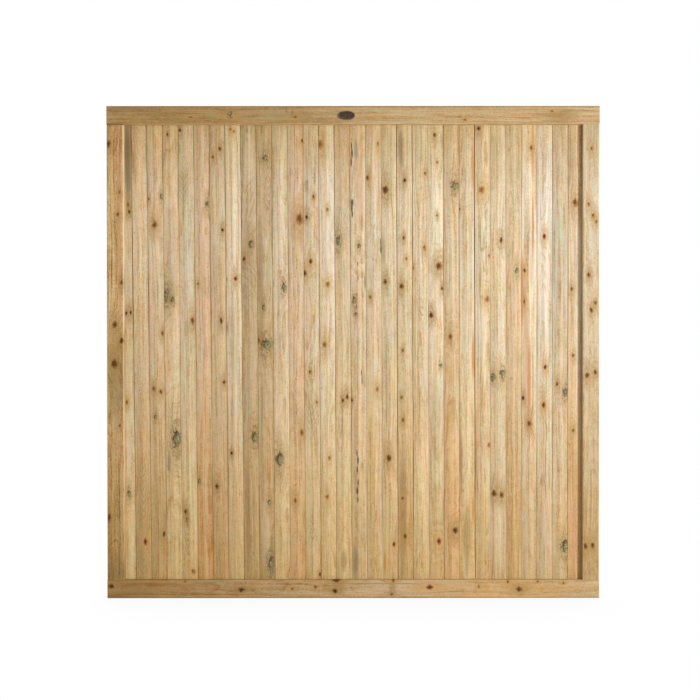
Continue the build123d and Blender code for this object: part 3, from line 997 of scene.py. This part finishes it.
def shape_edges(piece, rip=None, tongue=None):
    """Points the faces outwards, and rips a board upright where it meets a stile."""
    shape = bmesh.new()
    shape.from_mesh(piece.data)
    if rip is not None:
        everything = [*shape.verts, *shape.edges, *shape.faces]
        saw = {"plane_co": (rip, 0, 0), "plane_no": (math.copysign(1.0, rip), 0, 0)}
        bmesh.ops.bisect_plane(shape, geom=everything, clear_outer=True, **saw)
        bmesh.ops.holes_fill(shape, edges=[edge for edge in shape.edges if edge.is_boundary])
        add_box(shape, *tongue)
    bmesh.ops.recalc_face_normals(shape, faces=shape.faces)
    for face in shape.faces:
        face.smooth = True
        face.material_index = 0
    shape.to_mesh(piece.data)
    shape.free()
    piece.data.set_sharp_from_angle(angle=math.radians(BOARD_SHARP))


def ridge_line(node):
    """Places of a CAD board's ridge at its lower and upper shoulder."""
    points = [vertex.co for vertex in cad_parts[node].data.vertices]
    front = min(point.y for point in points)
    ridge = [point for point in points if point.y < front + 1e-5]
    low = min(ridge, key=lambda point: point.z)
    high = max(ridge, key=lambda point: point.z)
    return low, high


def place_piece(piece, node):
    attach(piece, "root")
    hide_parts(node)


def panel_point(from_left, from_top, sight=1.0):
    """Place on the panel, in metres, of a point seen so many millimetres from its top left corner."""
    x = (from_left / 1000 - PANEL_WIDTH / 2) * sight
    z = PANEL_HEIGHT / 2 + (PANEL_HEIGHT / 2 - from_top / 1000) * sight
    return x, z


def marks_on(lie, reach, marks, sight=1.0, growth=1.0):
    """Marks within reach of a timber's middle, in metres across and along its grain."""
    found = []
    for kind, from_left, from_top, half_width, half_height in marks:
        across, along = lie.local(*panel_point(from_left, from_top, sight))
        if -reach <= across < reach:
            sizes = (half_width, half_height) if lie.upright else (half_height, half_width)
            found.append((kind, across, along, *(size * growth / 1000 for size in sizes)))
    return found


def board_material(number, lie, draw):
    """Pine of one board, with the marks that fall on it."""
    reach = BOARD_FACE / 2
    knots = [(kind, *knot) for kind, places in KNOTS.items() for knot in places]
    arches = [("arch", *arch) for arch in ARCHES]
    pith = (
        draw.uniform(*PITH_ACROSS),
        draw.choice((-1, 1)) * draw.uniform(*PITH_DEPTH),
        draw.uniform(*RING_WIDTH),
        draw.uniform(*PITH_WANDER),
    )
    return timber_material(
        f"pine_board_{number:02d}", lie, BOARD_TONES[number - 1], BOARD_FADE, BOARD_CONTRAST, pith,
        marks_on(lie, reach, knots, BOARD_SIGHT, KNOT_GROWTH), marks_on(lie, reach, STAINS, BOARD_SIGHT),
        draw.uniform(*BOARD_SEEDS), (OPEN_JOINTS.get(number - 1, 0.0), OPEN_JOINTS.get(number, 0.0)),
        marks_on(lie, reach, arches, BOARD_SIGHT),
    )


def rip_board(piece, number, low, high):
    """Rips the first and the last board upright along their stile and gives them a tongue there."""
    core = TONGUE_THICKNESS / 2
    rip, tongue = None, None
    if number == 1:
        rip = LEFT_INNER + RIP_GAP
        tongue = ((low[0], -core, low[2]), (rip + BOARD_ARRIS, core, high[2]))
    if number == BOARD_COUNT:
        rip = RIGHT_INNER - RIP_GAP
        tongue = ((rip - BOARD_ARRIS, -core, low[2]), (high[0], core, high[2]))
    shape_edges(piece, rip, tongue)


def make_boards():
    """Sets the boards between the stiles, each with the lean and the end tenons of its CAD node."""
    tree = ridged_board_tree()
    draw = random.Random(BOARD_DRAW)
    first_low, first_high = ridge_line("board_02")
    last_low, last_high = ridge_line("board_29")
    steps = BOARD_COUNT - 3
    reach = BOARD_FACE / 2
    for number in range(1, BOARD_COUNT + 1):
        node = f"board_{number:02d}"
        low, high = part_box(node)
        foot_place = first_low.x + (last_low.x - first_low.x) * (number - 2) / steps
        head_place = first_high.x + (last_high.x - first_high.x) * (number - 2) / steps
        lean = (head_place - foot_place) / (first_high.z - first_low.z)
        lie = Lie(True, foot_place - lean * first_low.z, lean)
        values = {
            "Face": BOARD_FACE + FACE_SWELL, "Thickness": BOARD_THICKNESS, "Ridge rise": RIDGE_RISE,
            "Ridge ease": RIDGE_EASE, "Arris": BOARD_ARRIS, "Tongue length": TONGUE_LENGTH,
            "Tongue thickness": TONGUE_THICKNESS, "Groove depth": GROOVE_DEPTH,
            "Groove width": GROOVE_WIDTH, "Foot": first_low.z - FOOT_CLOSE, "Head": first_high.z + HEAD_CLOSE,
            "Foot place": foot_place, "Head place": head_place, "Stub near": GROOVE_DEPTH - reach,
            "Stub far": reach + TONGUE_LENGTH, "Stub thickness": TONGUE_THICKNESS, "Foot stub": low[2],
            "Head stub": high[2], "Unevenness": UNEVENNESS, "Rows": BOARD_ROWS, "Seed": number,
            "Material": board_material(number, lie, draw),
        }
        piece = grow(f"pine_{node}", tree, values)
        rip_board(piece, number, low, high)
        place_piece(piece, node)


def dress_frame():
    """Gives the four frame timbers their own pine."""
    lies = {
        "left_stile": Lie(True, (PANEL_LOW[0] + LEFT_INNER) / 2),
        "right_stile": Lie(True, (PANEL_HIGH[0] + RIGHT_INNER) / 2),
        "bottom_rail": Lie(False, RAIL_TOP / 2),
        "top_rail": Lie(False, (PANEL_HIGH[2] + HEAD_LINE) / 2),
    }
    for seed, (node, lie) in enumerate(lies.items(), start=FIRST_FRAME_SEED):
        knots = marks_on(lie, PANEL_WIDTH, FRAME_KNOTS[node], growth=KNOT_GROWTH)
        stains_and_painted_light = marks_on(lie, PANEL_WIDTH, FRAME_STAINS_AND_PAINTED_LIGHT.get(node, []))
        material = timber_material(f"pine_{node}", lie, *FRAME_TIMBERS[node], knots, stains_and_painted_light, seed)
        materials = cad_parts[node].data.materials
        materials.clear()
        materials.append(material)


def add_rings(shape, rings):
    """Skins a row of closed rings of points into a bmesh, with a cap on each end."""
    rows = [[shape.verts.new(point) for point in ring] for ring in rings]
    for near, far in zip(rows, rows[1:]):
        for step, corner in enumerate(near):
            shape.faces.new((near[step - 1], corner, far[step], far[step - 1]))
    shape.faces.new(rows[0])
    shape.faces.new(rows[-1])


def finished_mesh(name, shape):
    """Turns a bmesh into a mesh whose faces point outwards, smooth up to an angle."""
    bmesh.ops.recalc_face_normals(shape, faces=shape.faces)
    for face in shape.faces:
        face.smooth = True
    mesh = bpy.data.meshes.new(name)
    shape.to_mesh(mesh)
    shape.free()
    mesh.set_sharp_from_angle(angle=math.radians(FITTING_SHARP))
    return mesh


def turn(steps):
    """Angles of one turn."""
    return [2 * math.pi * step / steps for step in range(steps)]


def badge_material():
    """Dark cast metal, blotchy, with the rim rubbed paler."""
    material, tree, shader = new_material("badge_cast")
    place = object_place(tree)
    blotch = noise(tree, scaled(tree, place, BADGE_BLOTCH), 4.0, 0.65)
    grit = noise(tree, scaled(tree, place, BADGE_GRIT), 2.0)
    depth = place.split()[1]
    colour = blend(tree, blotch.smooth(0.4, 0.66), paint("291a11"), paint("5c442f"))
    rubbed = depth.smooth(BADGE_FRONT + BADGE_RUB, BADGE_FRONT) * blotch.smooth(0.35, 0.55)
    colour = blend(tree, rubbed * 0.7, colour, paint("a08a66"))
    plug(shader.inputs["Base Color"], colour)
    plug(shader.inputs["Roughness"], blotch * 0.3 + 0.4)
    plug(shader.inputs["Metallic"], rubbed * 0.5)
    shader.inputs["Specular IOR Level"].default_value = 0.3
    inputs = {"Strength": 0.5, "Distance": 0.0003, "Height": blotch + grit * 0.4}
    plug(shader.inputs["Normal"], wire_from(tree, "ShaderNodeBump", inputs=inputs))
    return material


def make_badge():
    """Bare oval plate with a rounded rim and two studs let into the rail."""
    low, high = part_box("badge_plate")
    centre_x, centre_z = (low[0] + high[0]) / 2, (low[2] + high[2]) / 2
    half_width, half_height = (high[0] - low[0]) / 2, (high[2] - low[2]) / 2
    shape = bmesh.new()

    def oval(inset, rise):
        return [
            (centre_x + (half_width - inset) * math.cos(a), RAIL_FRONT - rise,
             centre_z + (half_height - inset) * math.sin(a))
            for a in turn(BADGE_STEPS)
        ]

    add_rings(shape, [oval(inset, rise) for inset, rise in BADGE_PROFILE])
    for side in (-1, 1):
        stud_x = centre_x + side * BADGE_STUD_SPACING / 2
        rings = [
            [(stud_x + BADGE_STUD_RADIUS * math.cos(a), y, centre_z + BADGE_STUD_RADIUS * math.sin(a))
             for a in turn(BADGE_STUD_STEPS)]
            for y in (RAIL_FRONT - BADGE_PROFILE[1][1] / 2, high[1])
        ]
        add_rings(shape, rings)
    mesh = finished_mesh("badge", shape)
    mesh.materials.append(badge_material())
    place_piece(new_object("badge", mesh), "badge_plate")


def screw_material():
    """Plated steel with a passing dull patch."""
    material, tree, shader = new_material("plated_steel")
    cloud = noise(tree, scaled(tree, object_place(tree), SCREW_CLOUD), 3.0)
    plug(shader.inputs["Base Color"], blend(tree, cloud.smooth(0.35, 0.7), paint("c9bd98"), paint("8f7f5a")))
    plug(shader.inputs["Roughness"], cloud * 0.3 + 0.22)
    shader.inputs["Metallic"].default_value = 1.0
    return material


def screw_mesh(length):
    """Countersunk screw with a cross recess, its head down at the origin."""
    steps = turn(SCREW_STEPS)

    def ring(radius, z):
        return [(radius * math.cos(a), radius * math.sin(a), z) for a in steps]

    def cross(radius, z):
        arms = 1 - RECESS_CORE
        reaches = [radius * (RECESS_CORE + arms * math.cos(2 * a) ** RECESS_SHARPNESS) for a in steps]
        return [(reach * math.cos(a), reach * math.sin(a), z) for a, reach in zip(steps, reaches)]

    shank, head = SCREW_SHANK / 2, SCREW_HEAD / 2
    throat = head - shank + SCREW_CHAMFER
    rings = [
        cross(SCREW_RECESS * 0.45, SCREW_RECESS * 0.8),
        cross(SCREW_RECESS, 0.0002),
        cross(SCREW_RECESS * 1.08, 0.0),
        ring(head * 0.96, 0.0),
        ring(head, SCREW_CHAMFER),
        ring(shank, throat),
        ring(shank, length - SCREW_TIP),
        ring(SCREW_CHAMFER, length),
    ]
    shape = bmesh.new()
    add_rings(shape, rings)
    return finished_mesh("corner_screw", shape)


def corner_screws_tree():
    """Sets the screws of one corner pair after another, heads down at the foot and up at the head."""
    inputs = {"Screw": "Geometry", "Width": "Float", "Depth": "Float", "Foot": "Float", "Head": "Float",
              "Material": "Material"}
    tree, given = open_tree("Corner screws", "GeometryNodeTree", inputs, {"Geometry": "Geometry"})
    sizes = {"Size X": given["Width"], "Size Y": given["Depth"], "Vertices X": 2, "Vertices Y": 2}
    corners = wire_from(tree, "GeometryNodeMeshGrid", inputs=sizes)
    join = add_node(tree, "GeometryNodeJoinGeometry")
    for height, tilt in ((given["Foot"], 0.0), (given["Head"], math.pi)):
        spots = {"Geometry": corners, "Offset": combine(tree, 0.0, 0.0, height)}
        points = wire_from(tree, "GeometryNodeSetPosition", inputs=spots)
        turned = {"Points": points, "Instance": given["Screw"], "Rotation": (tilt, 0.0, 0.0)}
        plug(join.inputs[0], wire_from(tree, "GeometryNodeInstanceOnPoints", inputs=turned))
    whole = wire_from(tree, "GeometryNodeRealizeInstances", inputs={"Geometry": Wire(tree, join.outputs[0])})
    finish = {"Geometry": whole, "Material": given["Material"]}
    return close_tree(tree, {"Geometry": wire_from(tree, "GeometryNodeSetMaterial", inputs=finish)})


def make_screws():
    low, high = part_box("frame_screws")
    values = {
        "Width": high[0] - low[0] - SCREW_HEAD, "Depth": high[1] - low[1] - SCREW_HEAD, "Foot": low[2],
        "Head": high[2], "Material": screw_material(),
    }
    piece = grow("corner_screws", corner_screws_tree(), values, screw_mesh(SCREW_LENGTH))
    place_piece(piece, "frame_screws")


def make_floor():
    """Pale floor that shows white to the camera and keeps a faint shadow."""
    mesh = bpy.data.meshes.new("floor")
    reach = FLOOR_REACH
    corners = [(-reach, -reach, 0), (reach, -reach, 0), (reach, reach, 0), (-reach, reach, 0)]
    mesh.from_pydata(corners, [], [(0, 1, 2, 3)])
    floor = new_object("floor", mesh)
    material = bpy.data.materials.new("pale_floor")
    material.use_nodes = True
    tree = material.node_tree
    tree.nodes.clear()
    matt = wire_from(tree, "ShaderNodeBsdfDiffuse", inputs={"Color": FLOOR_COLOUR})
    nearby = {"Distance": SHADOW_REACH}
    open_sky = wire_from(tree, "ShaderNodeAmbientOcclusion", {"samples": 16}, nearby, output=1)
    glow = open_sky.smooth(0.1, 0.97) * FLOOR_SHADOW + (1.0 - FLOOR_SHADOW)
    white = wire_from(tree, "ShaderNodeEmission", inputs={"Strength": glow})
    both = wire_from(tree, "ShaderNodeMixShader", inputs={0: seen_directly(tree), 1: matt, 2: white})
    add_node(tree, "ShaderNodeOutputMaterial", inputs={"Surface": both})
    mesh.materials.append(material)


def seen_directly(tree):
    """1 for the rays that should meet a white background."""
    path = add_node(tree, "ShaderNodeLightPath").outputs
    rays = [Wire(tree, path[name]) for name in ("Is Camera Ray", "Is Glossy Ray", "Is Transmission Ray")]
    return rays[0].math("MAXIMUM", rays[1]).math("MAXIMUM", rays[2])


def make_world():
    """White to the camera, and an even fill light for everything else."""
    world = bpy.data.worlds.new("studio")
    bpy.context.scene.world = world
    world.use_nodes = True
    tree = world.node_tree
    seen = seen_directly(tree)
    backdrop = tree.nodes["Background"]
    plug(backdrop.inputs["Color"], blend(tree, seen, FILL_TINT, WHITE))
    plug(backdrop.inputs["Strength"], seen * (1.0 - FILL_LEVEL) + FILL_LEVEL)


def make_lamp(name, place, size, power):
    """Square soft light that points at the middle of the panel."""
    lamp = bpy.data.lights.new(name, "AREA")
    lamp.shape = "SQUARE"
    lamp.size = size
    lamp.energy = power
    lamp.color = LAMP_TINT
    holder = new_object(name, lamp)
    holder.location = place
    reach = [b - a for a, b in zip(place, LAMP_AIM)]
    across = math.hypot(reach[0], reach[1])
    holder.rotation_euler = (math.atan2(across, -reach[2]), 0.0, math.atan2(-reach[0], reach[1]))


def make_camera():
    camera = bpy.data.cameras.new("camera")
    camera.sensor_width = CAMERA_SENSOR
    camera.lens = CAMERA_FOCUS / PHOTO_WIDTH * CAMERA_SENSOR
    holder = new_object("camera", camera)
    holder.location = CAMERA_PLACE
    holder.rotation_euler = (math.pi / 2 + CAMERA_PITCH, CAMERA_ROLL, -CAMERA_YAW)
    bpy.context.scene.camera = holder


make_boards()
dress_frame()
make_badge()
make_screws()
make_floor()
make_world()
make_lamp("key", **KEY_LAMP)
make_lamp("back fill", **BACK_LAMP)
make_camera()
bpy.context.scene.view_settings.view_transform = "Standard"
